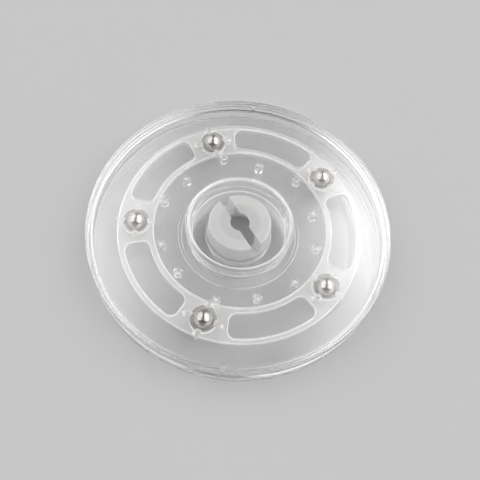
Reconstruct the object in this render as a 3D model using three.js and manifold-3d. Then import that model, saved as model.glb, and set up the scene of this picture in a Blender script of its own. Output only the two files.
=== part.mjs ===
// Ball-bearing turntable display stand: a clear platter that turns on five
// loose steel balls over a clear base, with a slotted centre hub that holds
// the two together. Millimetres, +Z up, origin on the table under the centre.

import * as THREE from 'three';
import { mergeVertices } from 'three/addons/utils/BufferGeometryUtils.js';
import Module from 'manifold-3d';

const wasm = await Module();
wasm.setup();

// ---------------------------------------------------------------- dimensions

const stand = { height: 16, radius: 70 };

// Both plates are shallow dishes that face each other.
const dish = {
  height: 7.6,
  floor: 2.9,
  wall: 2.3,
  draft: 0.3,       // the outer wall leans in by this much over its height
  edge: 1,          // rounding of the outer top and bottom edges
  corner: 1.3,      // fillet where the floor meets the inside of the wall
};

// The cup sunk in the middle of the platter, in which the hub stands.
const cup = {
  outerRadius: 24.6,
  throatRadius: 22.6,
  footRadius: 22,
  floorTop: 5.5,
  floorBottom: 3.5,
  mouth: 2,         // rounding of the rim at the top
  innerFillet: 0.5,
  outerFillet: 1.8,
};

// A low ring stands on the base under the cup's wall.
const baseRing = { inner: 27, outer: 28.6, height: 0.6 };

const pivotHole = { radius: 12.9 };
const flangeSeat = { radius: 15.5, depth: 1.7 };

// Short posts on both plates that keep the cage near the middle.
const post = { count: 6, circle: 36.75, radius: 2, length: 4.5, root: 0.5 };
const platterPostAngle = 49;
const basePostAngle = 21;

// Small square pads in the corner between the floor and the wall of each plate.
const pad = { count: 2, reach: 65.6, width: 2, height: 1.2, root: 0.2 };
const platterPadAngle = 91;
const basePadAngle = 115;

const hub = {
  headRadius: 14.3,
  headFoot: 15,
  top: 15.5,
  headBottom: 5.8,
  shankRadius: 12.6,
  flangeRadius: 15,
  flangeTop: 1.4,
  bottom: 0.3,
  boreRadius: 11,
  boreTop: 4.6,
  hollowRadius: 9.3,
  hollowBottom: 6.3,
  topWall: 1.5,
  holeRadius: 4.5,
  edge: 0.8,
  slotWidth: 4.9,
  slotBottom: 6.6,
  slotAngle: 128,
};

const ball = { radius: 4.7625, count: 5, circle: 48.4, firstAngle: 41.5 };

// The cage floats loose round the posts and lies a little off the axis.
const cage = {
  x: 0.45,
  y: 0.9,
  innerRadius: 40.2,
  outerRadius: 56.9,
  thickness: 2.6,
  windowInner: 43,
  windowOuter: 54.3,
  windowSpan: 45.5,
  windowCorner: 3.6,
  pocketRadius: 6,
};

// Four claws round each pocket keep the ball in it. They are the tips of low
// ribs with round ends. The ends are given outwards, to the left, inwards and to
// the right of the pocket, and the inward one stays clear of the posts.
const claw = { width: 2.4, reach: 5.05, ends: [9.3, 8.4, 8.5, 8.4], height: 3.4 };

const midHeight = stand.height / 2;
const windowAngle = ball.firstAngle - 180 / ball.count;

const detail = { plate: 72, cage: 72, hub: 48, hole: 32, post: 12, ball: 18, fillet: 3 };

// ------------------------------------------------------------------- helpers

const radians = THREE.MathUtils.degToRad;

function polar(radius, degrees) {
  const angle = radians(degrees);
  return new THREE.Vector2(radius * Math.cos(angle), radius * Math.sin(angle));
}

// Points of an arc from one angle to another, both ends included.
function arc(x, y, radius, from, to, steps) {
  const points = [];
  for (let i = 0; i <= steps; i++) {
    const offset = polar(radius, from + (to - from) * i / steps);
    points.push(new THREE.Vector2(x + offset.x, y + offset.y));
  }
  return points;
}

function solidOf(geometry) {
  const bare = geometry.clone();
  bare.deleteAttribute('normal');
  bare.deleteAttribute('uv');
  const merged = mergeVertices(bare, 1e-4);
  const mesh = new wasm.Mesh({
    numProp: 3,
    vertProperties: new Float32Array(merged.attributes.position.array),
    triVerts: new Uint32Array(merged.index.array),
  });
  return new wasm.Manifold(mesh);
}

function geometryOf(solid) {
  const mesh = solid.getMesh();
  const geometry = new THREE.BufferGeometry();
  geometry.setAttribute('position', new THREE.BufferAttribute(mesh.vertProperties, 3));
  geometry.setIndex(new THREE.BufferAttribute(mesh.triVerts, 1));
  const flat = geometry.toNonIndexed();
  flat.computeVertexNormals();
  return flat;
}

// A solid of revolution about Z. The profile is a closed loop of (radius, z)
// points that runs anticlockwise with the radius to the right and z up.
function revolve(profile, segments) {
  const loop = [...profile, profile[0]];
  const geometry = new THREE.LatheGeometry(loop, segments);
  geometry.rotateX(Math.PI / 2);
  return solidOf(geometry);
}

function extrude(outline, bottom, height) {
  const geometry = new THREE.ExtrudeGeometry(outline, { depth: height, bevelEnabled: false });
  geometry.translate(0, 0, bottom);
  return solidOf(geometry);
}

function disc(x, y, radius, sides) {
  return new THREE.Shape(arc(x, y, radius, 0, 360 * (sides - 1) / sides, sides - 1));
}

function point(radius, z) {
  return new THREE.Vector2(radius, z);
}

// The posts start a little inside their plate, so that they join it.
function postsAt(firstAngle, bottom) {
  const height = post.length + post.root;
  const posts = [];
  for (let i = 0; i < post.count; i++) {
    const at = polar(post.circle, firstAngle + i * 360 / post.count);
    posts.push(extrude(disc(at.x, at.y, post.radius, detail.post), bottom, height));
  }
  return posts;
}

function padsAt(firstAngle, bottom) {
  const length = stand.radius - dish.wall + pad.root - pad.reach;
  const height = pad.height + pad.root;
  const pads = [];
  for (let i = 0; i < pad.count; i++) {
    const geometry = new THREE.BoxGeometry(length, pad.width, height);
    geometry.translate(pad.reach + length / 2, 0, bottom + height / 2);
    geometry.rotateZ(radians(firstAngle + i * 360 / pad.count));
    pads.push(solidOf(geometry));
  }
  return pads;
}

function joined(solids) {
  return solids.reduce((whole, part) => whole.add(part));
}

// -------------------------------------------------------------------- plates

function makePlatter() {
  const bottom = stand.height - dish.height;
  const under = stand.height - dish.floor;
  const inside = stand.radius - dish.wall;
  const top = stand.radius - dish.draft;
  const profile = [
    point(pivotHole.radius, cup.floorBottom),
    ...arc(cup.outerRadius - cup.outerFillet, cup.floorBottom + cup.outerFillet,
      cup.outerFillet, 270, 360, detail.fillet),
    point(cup.outerRadius, under),
    ...arc(inside - dish.corner, under - dish.corner, dish.corner, 90, 0, detail.fillet),
    point(inside, bottom),
    point(stand.radius, bottom),
    ...arc(top - dish.edge, stand.height - dish.edge, dish.edge, 0, 90, detail.fillet),
    ...arc(cup.throatRadius + cup.mouth, stand.height - cup.mouth,
      cup.mouth, 90, 180, detail.fillet),
    ...arc(cup.footRadius - cup.innerFillet, cup.floorTop + cup.innerFillet,
      cup.innerFillet, 0, -90, 2),
    point(pivotHole.radius, cup.floorTop),
  ];
  const posts = postsAt(platterPostAngle, under - post.length);
  const pads = padsAt(platterPadAngle, under - pad.height);
  return joined([revolve(profile, detail.plate), ...posts, ...pads]);
}

function makeBase() {
  const inside = stand.radius - dish.wall;
  const bottom = stand.radius - dish.draft;
  const profile = [
    point(pivotHole.radius, flangeSeat.depth),
    point(flangeSeat.radius, flangeSeat.depth),
    point(flangeSeat.radius, 0),
    ...arc(bottom - dish.edge, dish.edge, dish.edge, -90, 0, detail.fillet),
    point(stand.radius, dish.height),
    point(inside, dish.height),
    ...arc(inside - dish.corner, dish.floor + dish.corner, dish.corner, 0, -90, detail.fillet),
    point(baseRing.outer, dish.floor),
    point(baseRing.outer, dish.floor + baseRing.height),
    point(baseRing.inner, dish.floor + baseRing.height),
    point(baseRing.inner, dish.floor),
    point(pivotHole.radius, dish.floor),
  ];
  const posts = postsAt(basePostAngle, dish.floor - post.root);
  const pads = padsAt(basePadAngle, dish.floor - pad.root);
  return joined([revolve(profile, detail.plate), ...posts, ...pads]);
}

// ----------------------------------------------------------------------- hub

function makeHub() {
  const profile = [
    point(hub.boreRadius, hub.bottom),
    point(hub.flangeRadius, hub.bottom),
    point(hub.flangeRadius, hub.flangeTop),
    point(hub.shankRadius, hub.flangeTop),
    point(hub.shankRadius, hub.headBottom),
    point(hub.headFoot, hub.headBottom),
    ...arc(hub.headRadius - hub.edge, hub.top - hub.edge, hub.edge, 0, 90, detail.fillet),
    point(hub.holeRadius, hub.top),
    point(hub.holeRadius, hub.top - hub.topWall),
    point(hub.hollowRadius, hub.top - hub.topWall),
    point(hub.hollowRadius, hub.hollowBottom),
    point(hub.boreRadius, hub.boreTop),
  ];
  const slotLength = 2 * (hub.headFoot + 1);
  const slotHeight = hub.top + 1 - hub.slotBottom;
  const slot = new THREE.BoxGeometry(slotLength, hub.slotWidth, slotHeight);
  slot.rotateZ(radians(hub.slotAngle));
  slot.translate(0, 0, hub.slotBottom + slotHeight / 2);
  return revolve(profile, detail.hub).subtract(solidOf(slot));
}

// ---------------------------------------------------------------------- cage

// A curved window between two radii with rounded corners, centred on an angle.
function windowOutline(angle) {
  const round = cage.windowCorner;
  const inner = cage.windowInner + round;
  const outer = cage.windowOuter - round;
  const half = cage.windowSpan / 2;
  const points = [];
  function corner(radius, degrees, from) {
    const turn = THREE.MathUtils.radToDeg(Math.asin(round / radius));
    const sign = Math.sign(degrees - angle);
    const centreAngle = degrees - sign * turn;
    const at = polar(radius, centreAngle);
    points.push(...arc(at.x, at.y, round, centreAngle + from, centreAngle + from + 90, detail.fillet));
    return centreAngle;
  }
  function stretch(radius, from, to) {
    points.push(...arc(0, 0, radius, from, to, 10).slice(1, -1));
  }
  const first = corner(outer, angle - half, -90);
  const second = angle + (angle - first);
  stretch(cage.windowOuter, first, second);
  corner(outer, angle + half, 0);
  const third = corner(inner, angle + half, 90);
  stretch(cage.windowInner, third, angle - (third - angle));
  corner(inner, angle - half, 180);
  return new THREE.Shape(points);
}

// A claw points at the ball with a round tip, and its rib ends round on the ring.
function clawOutline(pocket, degrees, end) {
  const half = claw.width / 2;
  const tip = polar(claw.reach + half, degrees).add(pocket);
  const tail = polar(end - half, degrees).add(pocket);
  return new THREE.Shape([
    ...arc(tip.x, tip.y, half, degrees + 90, degrees + 270, 6),
    ...arc(tail.x, tail.y, half, degrees - 90, degrees + 90, 6),
  ]);
}

function makeCage() {
  const bottom = midHeight - cage.thickness / 2;
  const outline = disc(0, 0, cage.outerRadius, detail.cage);
  outline.holes.push(disc(0, 0, cage.innerRadius, detail.cage));
  const pockets = [];
  for (let i = 0; i < ball.count; i++) {
    const pitch = i * 360 / ball.count;
    const pocketAngle = ball.firstAngle + pitch;
    const pocket = polar(ball.circle, pocketAngle);
    pockets.push({ pocket, pocketAngle });
    outline.holes.push(windowOutline(windowAngle + pitch));
    outline.holes.push(disc(pocket.x, pocket.y, cage.pocketRadius, detail.hole));
  }
  const claws = [];
  for (const { pocket, pocketAngle } of pockets) {
    claw.ends.forEach((end, i) => {
      const shape = clawOutline(pocket, pocketAngle + i * 360 / claw.ends.length, end);
      claws.push(extrude(shape, midHeight - claw.height / 2, claw.height));
    });
  }
  return joined([extrude(outline, bottom, cage.thickness), ...claws]);
}

// ---------------------------------------------------------------- the object

const clear = new THREE.MeshStandardMaterial({
  color: 0xe6eaec, roughness: 0.08, metalness: 0, transparent: true, opacity: 0.35,
});
const frosted = new THREE.MeshStandardMaterial({ color: 0xd8dadb, roughness: 0.5, metalness: 0 });
const milky = new THREE.MeshStandardMaterial({ color: 0xe4e6e5, roughness: 0.4, metalness: 0 });
const steel = new THREE.MeshStandardMaterial({ color: 0xc8c4bf, roughness: 0.08, metalness: 1 });

const turntable = new THREE.Group();

function place(name, geometry, material, x = 0, y = 0, z = 0) {
  const mesh = new THREE.Mesh(geometry, material);
  mesh.name = name;
  mesh.position.set(x, y, z);
  turntable.add(mesh);
}

place('bottom_plate', geometryOf(makeBase()), clear);
place('centre_hub', geometryOf(makeHub()), milky);
place('top_plate', geometryOf(makePlatter()), clear);
place('ball_cage', geometryOf(makeCage()), frosted, cage.x, cage.y);

for (let i = 0; i < ball.count; i++) {
  const at = polar(ball.circle, ball.firstAngle + i * 360 / ball.count);
  const sphere = new THREE.SphereGeometry(ball.radius, detail.ball, Math.round(detail.ball * 0.6));
  place(`steel_ball_${i + 1}`, sphere, steel, cage.x + at.x, cage.y + at.y, midHeight);
}

export default turntable;
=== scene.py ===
import math

import bmesh
import bpy
from mathutils import Matrix, Vector
from mathutils.geometry import tessellate_polygon


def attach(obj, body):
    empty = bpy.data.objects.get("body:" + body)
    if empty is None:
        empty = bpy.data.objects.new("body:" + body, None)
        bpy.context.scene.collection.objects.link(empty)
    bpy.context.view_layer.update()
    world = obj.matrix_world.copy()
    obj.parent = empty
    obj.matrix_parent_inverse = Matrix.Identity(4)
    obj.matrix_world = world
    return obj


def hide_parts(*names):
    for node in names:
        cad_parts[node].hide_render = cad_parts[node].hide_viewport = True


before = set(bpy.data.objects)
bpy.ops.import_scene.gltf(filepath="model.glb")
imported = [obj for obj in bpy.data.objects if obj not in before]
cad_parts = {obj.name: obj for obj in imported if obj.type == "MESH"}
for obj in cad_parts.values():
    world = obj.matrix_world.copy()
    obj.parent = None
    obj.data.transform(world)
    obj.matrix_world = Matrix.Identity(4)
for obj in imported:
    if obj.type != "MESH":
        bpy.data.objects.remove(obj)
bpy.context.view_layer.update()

MM = 0.001

# Dimensions in millimetres, as in the CAD model. Profiles are lists of
# (radius, z, rounding) corners, anticlockwise with the radius to the right.

TOP = 16.0
MIDDLE = TOP / 2
PLATE = 2.9
RIM = 70.0
DRAFT = 0.3
SKIRT_INSIDE = 67.7
SKIRT = 7.6
PIVOT_HOLE = 12.9
CUP_TOP, CUP_BOTTOM, CUP_OUTSIDE = 5.5, 3.5, 24.6
SEAT_RADIUS, SEAT_TOP = 15.5, 1.7
RING_INSIDE, RING_OUTSIDE, RING_TOP = 27.0, 28.6, PLATE + 0.6

PLATTER_PROFILE = [
    (PIVOT_HOLE, CUP_BOTTOM, 0.3),
    (CUP_OUTSIDE, CUP_BOTTOM, 1.8),
    (CUP_OUTSIDE, TOP - PLATE, 0.5),
    (SKIRT_INSIDE, TOP - PLATE, 1.3),
    (SKIRT_INSIDE, TOP - SKIRT, 0.3),
    (RIM, TOP - SKIRT, 0.3),
    (RIM - DRAFT, TOP, 1.0),
    (22.6, TOP, 2.0),
    (22.0, CUP_TOP, 0.5),
    (PIVOT_HOLE, CUP_TOP, 0.3),
]

BASE_PROFILE = [
    (PIVOT_HOLE, SEAT_TOP, 0.2),
    (SEAT_RADIUS, SEAT_TOP, 0.3),
    (SEAT_RADIUS, 0.0, 0.3),
    (RIM - DRAFT, 0.0, 1.0),
    (RIM, SKIRT, 0.3),
    (SKIRT_INSIDE, SKIRT, 0.3),
    (SKIRT_INSIDE, PLATE, 1.3),
    (RING_OUTSIDE, PLATE, 0.2),
    (RING_OUTSIDE, RING_TOP, 0.25),
    (RING_INSIDE, RING_TOP, 0.25),
    (RING_INSIDE, PLATE, 0.2),
    (PIVOT_HOLE, PLATE, 0.3),
]

HUB_TOP, HUB_ROOF, HUB_HOLE, HUB_HOLLOW = 15.5, 14.0, 4.5, 9.3
HUB_SHANK, HUB_HEAD_BOTTOM, HUB_BORE = 12.6, 5.8, 11.0
FLANGE_RADIUS, FLANGE_TOP, FLANGE_BOTTOM = 15.0, 1.4, 0.3

HUB_PROFILE = [
    (HUB_BORE, FLANGE_BOTTOM, 0.2),
    (FLANGE_RADIUS, FLANGE_BOTTOM, 0.25),
    (FLANGE_RADIUS, FLANGE_TOP, 0.25),
    (HUB_SHANK, FLANGE_TOP, 0.15),
    (HUB_SHANK, HUB_HEAD_BOTTOM, 0.15),
    (15.0, HUB_HEAD_BOTTOM, 0.35),
    (14.3, HUB_TOP, 0.8),
    (HUB_HOLE, HUB_TOP, 0.35),
    (HUB_HOLE, HUB_ROOF, 0.2),
    (HUB_HOLLOW, HUB_ROOF, 0.5),
    (HUB_HOLLOW, 6.3, 0.3),
    (HUB_BORE, 4.6, 0.3),
]
HUB_SLOT_WIDTH, HUB_SLOT_BOTTOM, HUB_SLOT_ANGLE = 4.9, 6.6, 128.0

POSTS, POST_CIRCLE, POST_RADIUS, POST_LENGTH, POST_ROOT = 6, 36.75, 2.0, 4.5, 0.5
PLATTER_POST_ANGLE, BASE_POST_ANGLE = 49.0, 21.0
POSTS_END = 40.0  # the posts and everything inside them are nearer the axis than this

PADS, PAD_REACH, PAD_WIDTH, PAD_HEIGHT, PAD_ROOT = 2, 65.6, 2.0, 1.2, 0.2
PLATTER_PAD_ANGLE, BASE_PAD_ANGLE = 91.0, 115.0

BALLS, BALL_RADIUS, BALL_CIRCLE, BALL_ANGLE = 5, 4.7625, 48.4, 41.5

CAGE_CENTRE = Vector((0.45, 0.9, 0))
CAGE_INNER, CAGE_OUTER, CAGE_THICKNESS = 40.2, 56.9, 2.6
WINDOW_INNER, WINDOW_OUTER, WINDOW_SPAN, WINDOW_CORNER = 43.0, 54.3, 45.5, 3.6
POCKET_RADIUS, CLAW_REACH, CLAW_WIDTH, CLAW_HEIGHT = 6.0, 5.05, 2.4, 3.4
CAGE_EDGE = 0.55

# How far the ribs behind the claws reach from the pocket's centre: outwards, to the left,
# inwards (kept clear of the posts) and to the right.
RIB_ENDS = (9.3, 8.4, 8.5, 8.4)

# Segments round each piece, the turn between the points of a rounding, and the largest
# turn between two faces that are shaded as one. Angles are in degrees.
PLATE_SEGMENTS, CAGE_SEGMENTS, HUB_SEGMENTS = 360, 240, 144
BALL_SEGMENTS, POST_SEGMENTS = 96, 40
ROUNDING_STEP = 9
SMOOTH_BELOW = 32

# The camera's place in millimetres, and its angles in degrees.
CAMERA_PLACE = Vector((1.10, -129.91, 257.15))
CAMERA_ELEVATION, CAMERA_ROLL = 63.47, 7.77
LENS, SENSOR = 45.0, 36.0

# The brightness of the backdrop that the camera sees, and the floor in millimetres.
BACKDROP = 0.58
FLOOR_SIZE = 4000
FLOOR_DROP = 0.02


# ------------------------------------------------------------------ geometry


def polar(radius, degrees):
    angle = math.radians(degrees)
    return Vector((radius * math.cos(angle), radius * math.sin(angle), 0))


def rounded(corners):
    """The closed outline through these (x, y, rounding) corners, each replaced by an arc."""
    points = []
    for i, (x, y, radius) in enumerate(corners):
        here = Vector((x, y))
        before = Vector(corners[i - 1][:2])
        after = Vector(corners[(i + 1) % len(corners)][:2])
        back, on = (before - here).normalized(), (after - here).normalized()
        turn = math.pi - back.angle(on)
        reach = radius * math.tan(turn / 2)
        centre = here + (back + on).normalized() * radius / math.cos(turn / 2)
        start, end = here + back * reach, here + on * reach
        steps = max(2, round(math.degrees(turn) / ROUNDING_STEP))
        first = start - centre
        sign = 1 if first.cross(end - centre) > 0 else -1
        for k in range(steps + 1):
            angle = sign * turn * k / steps
            spin = Matrix.Rotation(angle, 2)
            points.append(centre + spin @ first)
    return points


def link(name, bm):
    """A new object in metres from a bmesh in millimetres."""
    bmesh.ops.remove_doubles(bm, verts=bm.verts, dist=1e-4)
    bmesh.ops.recalc_face_normals(bm, faces=bm.faces)
    bmesh.ops.scale(bm, vec=(MM, MM, MM), verts=bm.verts)
    mesh = bpy.data.meshes.new(name)
    bm.to_mesh(mesh)
    bm.free()
    obj = bpy.data.objects.new(name, mesh)
    bpy.context.scene.collection.objects.link(obj)
    shade(obj)
    return obj


def shade(obj):
    """Smooth shading, in which the large flat faces stay flat up to their edges."""
    obj.data.shade_smooth()
    obj.data.set_sharp_from_angle(angle=math.radians(SMOOTH_BELOW))
    normals = obj.modifiers.new("normals", "WEIGHTED_NORMAL")
    normals.keep_sharp = True


def revolve(name, outline, segments, closed=True, centre=(0, 0, 0)):
    """Turns an outline of (radius, z) points about Z."""
    bm = bmesh.new()
    rings = []
    for i in range(segments):
        a = 2 * math.pi * i / segments
        ring = []
        for r, z in outline:
            at = Vector((r * math.cos(a), r * math.sin(a), z)) + Vector(centre)
            ring.append(bm.verts.new(at))
        rings.append(ring)
    count = len(outline)
    for i, ring in enumerate(rings):
        following = rings[(i + 1) % segments]
        for j in range(count if closed else count - 1):
            k = (j + 1) % count
            bm.faces.new((ring[j], following[j], following[k], ring[k]))
    return link(name, bm)


def rounded_slab(name, loops, low, high, edge, steps=4):
    """A flat plate between low and high. loops[0] is its outside, anticlockwise, and the
    others its holes, clockwise. Every edge is rounded by edge."""
    levels = []
    for k in range(steps + 1):
        t = math.pi / 2 * (1 - k / steps)
        levels.append((edge * (1 - math.cos(t)), low + edge * (1 - math.sin(t))))
    levels += [(inset, low + high - z) for inset, z in reversed(levels)]
    bm = bmesh.new()
    bottoms, tops = [], []
    for loop in loops:
        count = len(loop)
        outward = []
        for i in range(count):
            along = (loop[(i + 1) % count] - loop[i - 1]).normalized()
            outward.append(Vector((along.y, -along.x, 0)))
        rings = []
        for inset, z in levels:
            ring = []
            for p, n in zip(loop, outward):
                at = p - n * inset
                ring.append(bm.verts.new((at.x, at.y, z)))
            rings.append(ring)
        for one, two in zip(rings, rings[1:]):
            for i in range(count):
                j = (i + 1) % count
                bm.faces.new((one[i], one[j], two[j], two[i]))
        bottoms.append(rings[0])
        tops.append(rings[-1])
    for side in (bottoms, tops):
        flat = [v for ring in side for v in ring]
        for corners in tessellate_polygon([[v.co for v in ring] for ring in side]):
            bm.faces.new([flat[c] for c in corners])
    return link(name, bm)


def combine(target, tools, operation):
    """Joins the tools to the target, or cuts them out of it, as one clean mesh."""
    target.modifiers.clear()
    for tool in tools:
        mod = target.modifiers.new("combine", "BOOLEAN")
        mod.operation = operation
        mod.solver = "MANIFOLD"
        mod.object = tool
    graph = bpy.context.evaluated_depsgraph_get()
    mesh = bpy.data.meshes.new_from_object(target.evaluated_get(graph), depsgraph=graph)
    target.modifiers.clear()
    target.data = mesh
    for tool in tools:
        bpy.data.objects.remove(tool)
    shade(target)
    return target


def posts_at(first_angle, low, high, free_end):
    """Round posts between two heights, with the free end's edge rounded."""
    low_round, high_round = (0.05, 0.35) if free_end == "top" else (0.35, 0.05)
    almost_axis = 0.001
    outline = rounded([
        (POST_RADIUS, low, low_round),
        (POST_RADIUS, high, high_round),
        (almost_axis, high, 0.0),
        (almost_axis, low, 0.0),
    ])
    posts = []
    for i in range(POSTS):
        at = polar(POST_CIRCLE, first_angle + i * 360 / POSTS)
        posts.append(revolve("post", outline, POST_SEGMENTS, centre=at))
    return posts


def pads_at(first_angle, low):
    """Small square pads in the corner between a plate's floor and its wall."""
    end, half_width = SKIRT_INSIDE + PAD_ROOT, PAD_WIDTH / 2
    outline = rounded([
        (PAD_REACH, -half_width, 0.3),
        (end, -half_width, 0.1),
        (end, half_width, 0.1),
        (PAD_REACH, half_width, 0.3),
    ])
    pads = []
    for i in range(PADS):
        spin = Matrix.Rotation(math.radians(first_angle + i * 360 / PADS), 2)
        loop = [(spin @ p).to_3d() for p in outline]
        pads.append(rounded_slab("pad", [loop], low, low + PAD_HEIGHT + PAD_ROOT, 0.15, 2))
    return pads


# -------------------------------------------------------------------- pieces


def make_platter():
    under = TOP - PLATE
    platter = revolve("platter", rounded(PLATTER_PROFILE), PLATE_SEGMENTS)
    posts = posts_at(PLATTER_POST_ANGLE, under - POST_LENGTH, under + POST_ROOT, "bottom")
    pads = pads_at(PLATTER_PAD_ANGLE, under - PAD_HEIGHT)
    return combine(platter, posts + pads, "UNION")


def make_base():
    base = revolve("base", rounded(BASE_PROFILE), PLATE_SEGMENTS)
    posts = posts_at(BASE_POST_ANGLE, PLATE - POST_ROOT, PLATE + POST_LENGTH, "top")
    pads = pads_at(BASE_PAD_ANGLE, PLATE - PAD_ROOT)
    return combine(base, posts + pads, "UNION")


def make_hub():
    """The snap hub, with a slot right across it that runs out past its side and its top."""
    hub = revolve("hub", rounded(HUB_PROFILE), HUB_SEGMENTS)
    half_length, half_width, above = 18.0, HUB_SLOT_WIDTH / 2, 18.0
    outline = rounded([
        (half_length, -half_width, 0.2),
        (half_length, half_width, 0.2),
        (-half_length, half_width, 0.2),
        (-half_length, -half_width, 0.2),
    ])
    spin = Matrix.Rotation(math.radians(HUB_SLOT_ANGLE), 2)
    loop = [(spin @ p).to_3d() for p in outline]
    slot = rounded_slab("slot", [loop], HUB_SLOT_BOTTOM, above, 0.15)
    return combine(hub, [slot], "DIFFERENCE")


def window_loop(angle):
    """A curved window with round corners, clockwise."""
    inner, outer = WINDOW_INNER + WINDOW_CORNER, WINDOW_OUTER - WINDOW_CORNER
    half = WINDOW_SPAN / 2
    inner_turn = half - math.degrees(math.asin(WINDOW_CORNER / inner))
    outer_turn = half - math.degrees(math.asin(WINDOW_CORNER / outer))
    points = []

    def corner(radius, turn, start):
        at, steps = polar(radius, angle + turn), 12
        for k in range(steps + 1):
            points.append(at + polar(WINDOW_CORNER, angle + turn + start + 90 * k / steps))

    def stretch(radius, turn):
        """The points between two corners, from turn on one side to turn on the other."""
        steps = 40
        for k in range(1, steps):
            points.append(polar(radius, angle + turn * (1 - 2 * k / steps)))

    corner(outer, -outer_turn, -90)
    stretch(WINDOW_OUTER, -outer_turn)
    corner(outer, outer_turn, 0)
    corner(inner, inner_turn, 90)
    stretch(WINDOW_INNER, inner_turn)
    corner(inner, -inner_turn, 180)
    return points[::-1]


def pocket_loop(centre, angle):
    """A round pocket with four claws that reach in to the ball, clockwise."""
    count, softness = 144, 0.12
    points = []
    for k in range(count):
        turn = k * 360 / count
        off_claw = (turn + 45) % 90 - 45
        across = abs(POCKET_RADIUS * math.sin(math.radians(off_claw)))
        rise = 1 / (1 + math.exp((across - CLAW_WIDTH / 2) / softness))
        radius = POCKET_RADIUS - (POCKET_RADIUS - CLAW_REACH) * rise
        points.append(centre + polar(radius, angle + turn))
    return points[::-1]


def claw_rib(centre, degrees, end):
    """The low raised rib behind a claw, a little narrower than the claw and round at its
    end on the ring."""
    start, half_width = CLAW_REACH + 0.05, CLAW_WIDTH / 2 - 0.1
    outline = rounded([
        (start, -half_width, 0.7),
        (end, -half_width, half_width - 0.05),
        (end, half_width, half_width - 0.05),
        (start, half_width, 0.7),
    ])
    spin = Matrix.Rotation(math.radians(degrees), 3, "Z")
    loop = [centre + spin @ p.to_3d() for p in outline]
    half = CLAW_HEIGHT / 2
    return rounded_slab("rib", [loop], MIDDLE - half, MIDDLE + half, 0.18, 3)


def make_cage():
    def circle(radius):
        return [polar(radius, 360 * k / CAGE_SEGMENTS) for k in range(CAGE_SEGMENTS)]

    loops = [circle(CAGE_OUTER), circle(CAGE_INNER)[::-1]]
    ribs = []
    for i in range(BALLS):
        angle = BALL_ANGLE + i * 360 / BALLS
        centre = polar(BALL_CIRCLE, angle)
        loops.append(pocket_loop(centre, angle))
        loops.append(window_loop(angle - 180 / BALLS))
        for k, end in enumerate(RIB_ENDS):
            ribs.append(claw_rib(centre + CAGE_CENTRE, angle + 90 * k, end))
    loops = [[p + CAGE_CENTRE for p in loop] for loop in loops]
    half = CAGE_THICKNESS / 2
    cage = rounded_slab("cage", loops, MIDDLE - half, MIDDLE + half, CAGE_EDGE)
    return combine(cage, ribs, "UNION")


def make_ball(name, centre):
    rings = 60
    outline = [(0.0, -BALL_RADIUS)]
    for k in range(1, rings):
        a = math.radians(-90 + 180 * k / rings)
        outline.append((BALL_RADIUS * math.cos(a), BALL_RADIUS * math.sin(a)))
    outline.append((0.0, BALL_RADIUS))
    return revolve(name, outline, BALL_SEGMENTS, closed=False, centre=centre)


# ----------------------------------------------------------------- materials


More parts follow.
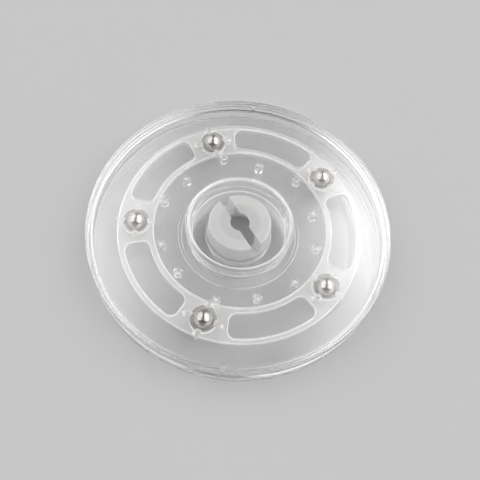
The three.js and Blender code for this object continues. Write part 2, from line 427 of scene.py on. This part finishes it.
class Nodes:
    """A material's node tree."""

    def __init__(self, name):
        self.material = bpy.data.materials.new(name)
        self.material.use_nodes = True
        self.tree = self.material.node_tree
        self.tree.nodes.clear()

    def add(self, kind, **values):
        node = self.tree.nodes.new(kind)
        for key, value in values.items():
            setattr(node, key, value)
        return node

    def join(self, source, target):
        self.tree.links.new(source, target)

    def noise(self, scale, detail, stretch=(1, 1, 1), distortion=0.0):
        """Noise in the object's own millimetres."""
        where = self.add("ShaderNodeTexCoord")
        mapping = self.add("ShaderNodeMapping")
        mapping.inputs["Scale"].default_value = [s / MM for s in stretch]
        self.join(where.outputs["Object"], mapping.inputs["Vector"])
        noise = self.add("ShaderNodeTexNoise")
        noise.inputs["Scale"].default_value = scale
        noise.inputs["Detail"].default_value = detail
        noise.inputs["Distortion"].default_value = distortion
        self.join(mapping.outputs["Vector"], noise.inputs["Vector"])
        return noise.outputs["Fac"]

    def ramp(self, value, low, high, to_low, to_high):
        node = self.add("ShaderNodeMapRange")
        for key, number in zip(
            ("From Min", "From Max", "To Min", "To Max"), (low, high, to_low, to_high)
        ):
            node.inputs[key].default_value = number
        self.join(value, node.inputs["Value"])
        return node.outputs["Result"]

    def bump(self, height, distance):
        """A bumpy normal, up to distance millimetres deep."""
        node = self.add("ShaderNodeBump")
        node.inputs["Strength"].default_value = 1.0
        node.inputs["Distance"].default_value = distance * MM
        self.join(height, node.inputs["Height"])
        return node.outputs["Normal"]

    def product(self, one, two):
        node = self.add("ShaderNodeMath", operation="MULTIPLY")
        self.join(one, node.inputs[0])
        self.join(two, node.inputs[1])
        return node.outputs[0]

    def from_axis(self):
        """Distance from the piece's Z axis in millimetres."""
        where = self.add("ShaderNodeTexCoord")
        flat = self.add("ShaderNodeVectorMath", operation="MULTIPLY")
        flat.inputs[1].default_value = (1 / MM, 1 / MM, 0)
        self.join(where.outputs["Object"], flat.inputs[0])
        length = self.add("ShaderNodeVectorMath", operation="LENGTH")
        self.join(flat.outputs[0], length.inputs[0])
        return length.outputs["Value"]

    def levelness(self):
        """1 on level faces, 0 on upright ones, and the cosine of the slope between."""
        geometry = self.add("ShaderNodeNewGeometry")
        split = self.add("ShaderNodeSeparateXYZ")
        self.join(geometry.outputs["Normal"], split.inputs["Vector"])
        size = self.add("ShaderNodeMath", operation="ABSOLUTE")
        self.join(split.outputs["Z"], size.inputs[0])
        return size.outputs[0]

    def wall(self):
        """0 on level faces and 1 on upright ones."""
        return self.ramp(self.levelness(), 0.99, 0.82, 0.0, 1.0)

    def edge(self):
        """1 on the roundings between level and upright faces, and 0 on both of those."""
        level = self.levelness()
        near_upright = self.ramp(level, 0.08, 0.35, 0.0, 1.0)
        near_level = self.ramp(level, 0.995, 0.9, 0.0, 1.0)
        return self.product(near_upright, near_level)

    def surface(self, shader, lamp_colour=None):
        """Ends the tree. With a lamp colour, lamps shine through in that colour."""
        out = self.add("ShaderNodeOutputMaterial")
        if lamp_colour is None:
            self.join(shader, out.inputs["Surface"])
            return self.material
        path = self.add("ShaderNodeLightPath")
        clear = self.add("ShaderNodeBsdfTransparent")
        clear.inputs["Color"].default_value = (*lamp_colour, 1)
        mix = self.add("ShaderNodeMixShader")
        self.join(path.outputs["Is Shadow Ray"], mix.inputs["Fac"])
        self.join(shader, mix.inputs[1])
        self.join(clear.outputs[0], mix.inputs[2])
        self.join(mix.outputs[0], out.inputs["Surface"])
        return self.material


def clear_plastic(name):
    """Polished clear plastic with a trace of haze. The roundings of the cup and the posts,
    inside POSTS_END, scatter a little light."""
    n = Nodes(name)
    body = n.add("ShaderNodeBsdfPrincipled")
    body.inputs["Base Color"].default_value = (0.988, 0.988, 0.987, 1)
    body.inputs["IOR"].default_value = 1.57
    haze = n.noise(0.05, 4, distortion=0.6)
    cup_and_posts = n.product(n.edge(), n.ramp(n.from_axis(), POSTS_END, POSTS_END + 1, 1, 0))
    clear = n.product(n.ramp(haze, 0.3, 0.75, 0.998, 0.985), n.ramp(cup_and_posts, 0, 1, 1.0, 0.7))
    n.join(clear, body.inputs["Transmission Weight"])
    n.join(n.ramp(haze, 0.4, 0.75, 0.0, 0.006), body.inputs["Roughness"])
    n.join(n.bump(n.noise(0.035, 1), 0.015), body.inputs["Normal"])
    return n.surface(body.outputs[0], (0.978, 0.978, 0.977))


def frosted_plastic(name, tint, level, lamp_colour, hollow=None):
    """A milky moulding. Its level faces have the opacity level, and its upright ones are
    nearly opaque, because more of it is in the way there. Its roundings are given a paler
    colour than its flat faces, a painted highlight. Inside the radius hollow a thin wall
    covers a hollow: there the colour is darkened as painted shade, and the moulding glows
    with light from behind."""
    upright, roughness = 0.9, 0.3
    n = Nodes(name)
    body = n.add("ShaderNodeBsdfPrincipled")
    cloud = n.noise(0.12, 3, distortion=0.4)
    pale = n.ramp(cloud, 0.3, 0.7, 0.93, 1.0)
    if hollow:
        # Painted shade: inside the radius hollow the colour is darkened, where the thin wall
        # covers the hollow.
        inside = n.ramp(n.from_axis(), hollow - 0.5, hollow + 0.5, 0.86, 1.0)
        pale = n.product(pale, inside)
    # Painted highlight: the roundings get a paler colour than the flat faces, so the edges show as
    # bright outlines.
    pale = n.product(pale, n.ramp(n.edge(), 0, 1, 0.85, 1.0))
    colour = n.add("ShaderNodeMix", data_type="RGBA")
    colour.inputs["A"].default_value = (0, 0, 0, 1)
    colour.inputs["B"].default_value = (*tint, 1)
    n.join(pale, colour.inputs["Factor"])
    n.join(colour.outputs["Result"], body.inputs["Base Color"])
    n.join(n.ramp(n.wall(), 0, 1, level, upright), body.inputs["Alpha"])
    body.inputs["IOR"].default_value = 1.5
    grain = n.noise(0.9, 4)
    n.join(n.ramp(grain, 0.3, 0.7, roughness - 0.05, roughness + 0.05), body.inputs["Roughness"])
    n.join(n.bump(grain, 0.004), body.inputs["Normal"])
    if not hollow:
        return n.surface(body.outputs[0], lamp_colour)
    glow = n.add("ShaderNodeBsdfTranslucent")
    glow.inputs["Color"].default_value = (*tint, 1)
    blend = n.add("ShaderNodeMixShader")
    blend.inputs["Fac"].default_value = 0.3
    n.join(body.outputs[0], blend.inputs[1])
    n.join(glow.outputs[0], blend.inputs[2])
    return n.surface(blend.outputs[0], lamp_colour)


def polished_steel(name):
    """Bearing steel with a slight change of tone and fine scratches."""
    n = Nodes(name)
    body = n.add("ShaderNodeBsdfPrincipled")
    tone = n.noise(0.35, 4, distortion=1.0)
    colour = n.add("ShaderNodeMix", data_type="RGBA")
    colour.inputs["A"].default_value = (0.50, 0.475, 0.45, 1)
    colour.inputs["B"].default_value = (0.64, 0.615, 0.59, 1)
    n.join(tone, colour.inputs["Factor"])
    n.join(colour.outputs["Result"], body.inputs["Base Color"])
    body.inputs["Metallic"].default_value = 1.0
    scratch = n.noise(0.5, 6, stretch=(1, 6, 1))
    n.join(n.ramp(scratch, 0.35, 0.7, 0.02, 0.07), body.inputs["Roughness"])
    n.join(n.bump(scratch, 0.0005), body.inputs["Normal"])
    return n.surface(body.outputs[0])


def pale_paint(name):
    """A plain floor that can be looked through from below."""
    n = Nodes(name)
    body = n.add("ShaderNodeBsdfPrincipled")
    body.inputs["Base Color"].default_value = (0.45, 0.45, 0.453, 1)
    body.inputs["Roughness"].default_value = 0.85
    clear = n.add("ShaderNodeBsdfTransparent")
    under = n.add("ShaderNodeMixShader")
    n.join(n.add("ShaderNodeNewGeometry").outputs["Backfacing"], under.inputs["Fac"])
    n.join(body.outputs[0], under.inputs[1])
    n.join(clear.outputs[0], under.inputs[2])
    return n.surface(under.outputs[0])


# ----------------------------------------------------------- camera and light


def make_camera():
    """The reference view: from in front and high above, with the camera rolled a little."""
    data = bpy.data.cameras.new("camera")
    data.lens, data.sensor_width = LENS, SENSOR
    data.clip_start, data.clip_end = 0.01, 20
    camera = bpy.data.objects.new("camera", data)
    bpy.context.scene.collection.objects.link(camera)
    tilt = math.radians(CAMERA_ELEVATION)
    right = Vector((1, 0, 0))
    up = Vector((0, math.sin(tilt), math.cos(tilt)))
    back = Vector((0, -math.cos(tilt), math.sin(tilt)))
    basis = Matrix((right, up, back)).transposed()
    basis = basis @ Matrix.Rotation(math.radians(CAMERA_ROLL), 3, "Z")
    camera.matrix_world = Matrix.Translation(CAMERA_PLACE * MM) @ basis.to_4x4()
    bpy.context.scene.camera = camera


def make_light():
    """A pale room with a broad soft window on each side, seen by every shiny surface.
    The camera itself sees a plain backdrop."""
    world = bpy.data.worlds.new("studio")
    world.use_nodes = True
    bpy.context.scene.world = world
    nodes, links = world.node_tree.nodes, world.node_tree.links
    nodes.clear()

    def math_node(operation, *values):
        node = nodes.new("ShaderNodeMath")
        node.operation = operation
        for socket, value in zip(node.inputs, values):
            if isinstance(value, (int, float)):
                socket.default_value = value
            else:
                links.new(value, socket)
        return node.outputs[0]

    def add(*values):
        return math_node("ADD", *values)

    def times(*values):
        return math_node("MULTIPLY", *values)

    def opposite(value):
        return math_node("SUBTRACT", 1.0, value)

    def step(value, low, high):
        """A soft step from 0 to 1."""
        node = nodes.new("ShaderNodeMapRange")
        node.interpolation_type = "SMOOTHSTEP"
        node.inputs["From Min"].default_value = low
        node.inputs["From Max"].default_value = high
        links.new(value, node.inputs["Value"])
        return node.outputs["Result"]

    def glow(direction, sharpness, strength):
        """A soft round patch of light in a direction."""
        node = nodes.new("ShaderNodeVectorMath")
        node.operation = "DOT_PRODUCT"
        links.new(sky, node.inputs[0])
        node.inputs[1].default_value = Vector(direction).normalized()
        facing = math_node("MAXIMUM", node.outputs["Value"], 0.0)
        return times(math_node("POWER", facing, sharpness), strength)

    sky = nodes.new("ShaderNodeTexCoord").outputs["Generated"]
    split = nodes.new("ShaderNodeSeparateXYZ")
    links.new(sky, split.inputs[0])
    x, y, z = split.outputs
    aside = math_node("ABSOLUTE", x)

    # A dim room, and a paler band low on both sides of it.
    low_band = times(opposite(step(z, 0.15, 0.45)), add(times(step(aside, 0.2, 0.6), 0.9), 0.1))
    total = add(times(low_band, 2.2), 0.2)

    # The windows to the right and left, each brighter in its outer part.
    high = times(step(z, 0.3, 0.5), step(y, -0.6, -0.4))
    right = times(step(x, 0.07, 0.2), high)
    left = times(step(times(x, -1.0), 0.07, 0.2), high)
    outer = times(step(aside, 0.3, 0.4), high)
    for window, brightness in ((right, 1.8), (left, 1.2), (outer, 1.0)):
        total = add(total, times(window, brightness))

    # Two brighter spots in the windows, and a darker place behind the camera.
    total = add(total, glow((0.30, 0.50, 0.81), 120, 8.0))
    total = add(total, glow((-0.30, 0.40, 0.87), 100, 1.5))
    total = times(total, opposite(glow((0.0, -0.6, 0.8), 25, 0.8)))
    total = times(total, 0.9)

    seen = nodes.new("ShaderNodeLightPath").outputs["Is Camera Ray"]
    strength = add(times(seen, BACKDROP), times(opposite(seen), total))
    background = nodes.new("ShaderNodeBackground")
    links.new(strength, background.inputs["Strength"])
    out = nodes.new("ShaderNodeOutputWorld")
    links.new(background.outputs[0], out.inputs["Surface"])


def make_floor():
    """A wide floor, just below the base so that the two faces don't coincide."""
    bm = bmesh.new()
    size = FLOOR_SIZE
    corners = [(-size, -size, 0), (size, -size, 0), (size, size, 0), (-size, size, 0)]
    bm.faces.new([bm.verts.new(c) for c in corners])
    floor = link("floor", bm)
    floor.location.z = -FLOOR_DROP * MM
    floor.data.materials.append(pale_paint("pale_paint"))


def dress(piece, name, material, body, node):
    """Gives a piece its name and looks, and puts it in its CAD node's place."""
    piece.name = name
    piece.data.materials.clear()
    piece.data.materials.append(material)
    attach(piece, body)
    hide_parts(node)


make_camera()
make_light()
make_floor()

clear = clear_plastic("clear_plastic")
milky = frosted_plastic(
    "hub_plastic",
    tint=(0.80, 0.80, 0.795),
    level=0.8,
    lamp_colour=(0.45, 0.45, 0.45),
    hollow=HUB_HOLLOW,
)
frosted = frosted_plastic(
    "cage_plastic",
    tint=(0.94, 0.93, 0.925),
    level=0.11,
    lamp_colour=(0.85, 0.85, 0.85),
)
steel = polished_steel("steel")

dress(make_base(), "clear_base", clear, "base", "bottom_plate")
dress(make_platter(), "clear_platter", clear, "platter", "top_plate")
dress(make_hub(), "split_hub", milky, "base", "centre_hub")
dress(make_cage(), "frosted_cage", frosted, "cage", "ball_cage")
for i in range(BALLS):
    at = CAGE_CENTRE + polar(BALL_CIRCLE, BALL_ANGLE + i * 360 / BALLS)
    at.z = MIDDLE
    number = i + 1
    name = f"bearing_ball_{number}"
    dress(make_ball(name, at), name, steel, f"ball_{number}", f"steel_ball_{number}")

# Light takes many turns inside clear plastic before it leaves at an edge. The clamp
# keeps single bright paths from showing as specks.
light_paths = bpy.context.scene.cycles
light_paths.sample_clamp_indirect = 3.0
light_paths.max_bounces = 32
light_paths.glossy_bounces = 32
light_paths.transmission_bounces = 32
light_paths.transparent_max_bounces = 64
bpy.context.scene.view_settings.view_transform = "Standard"
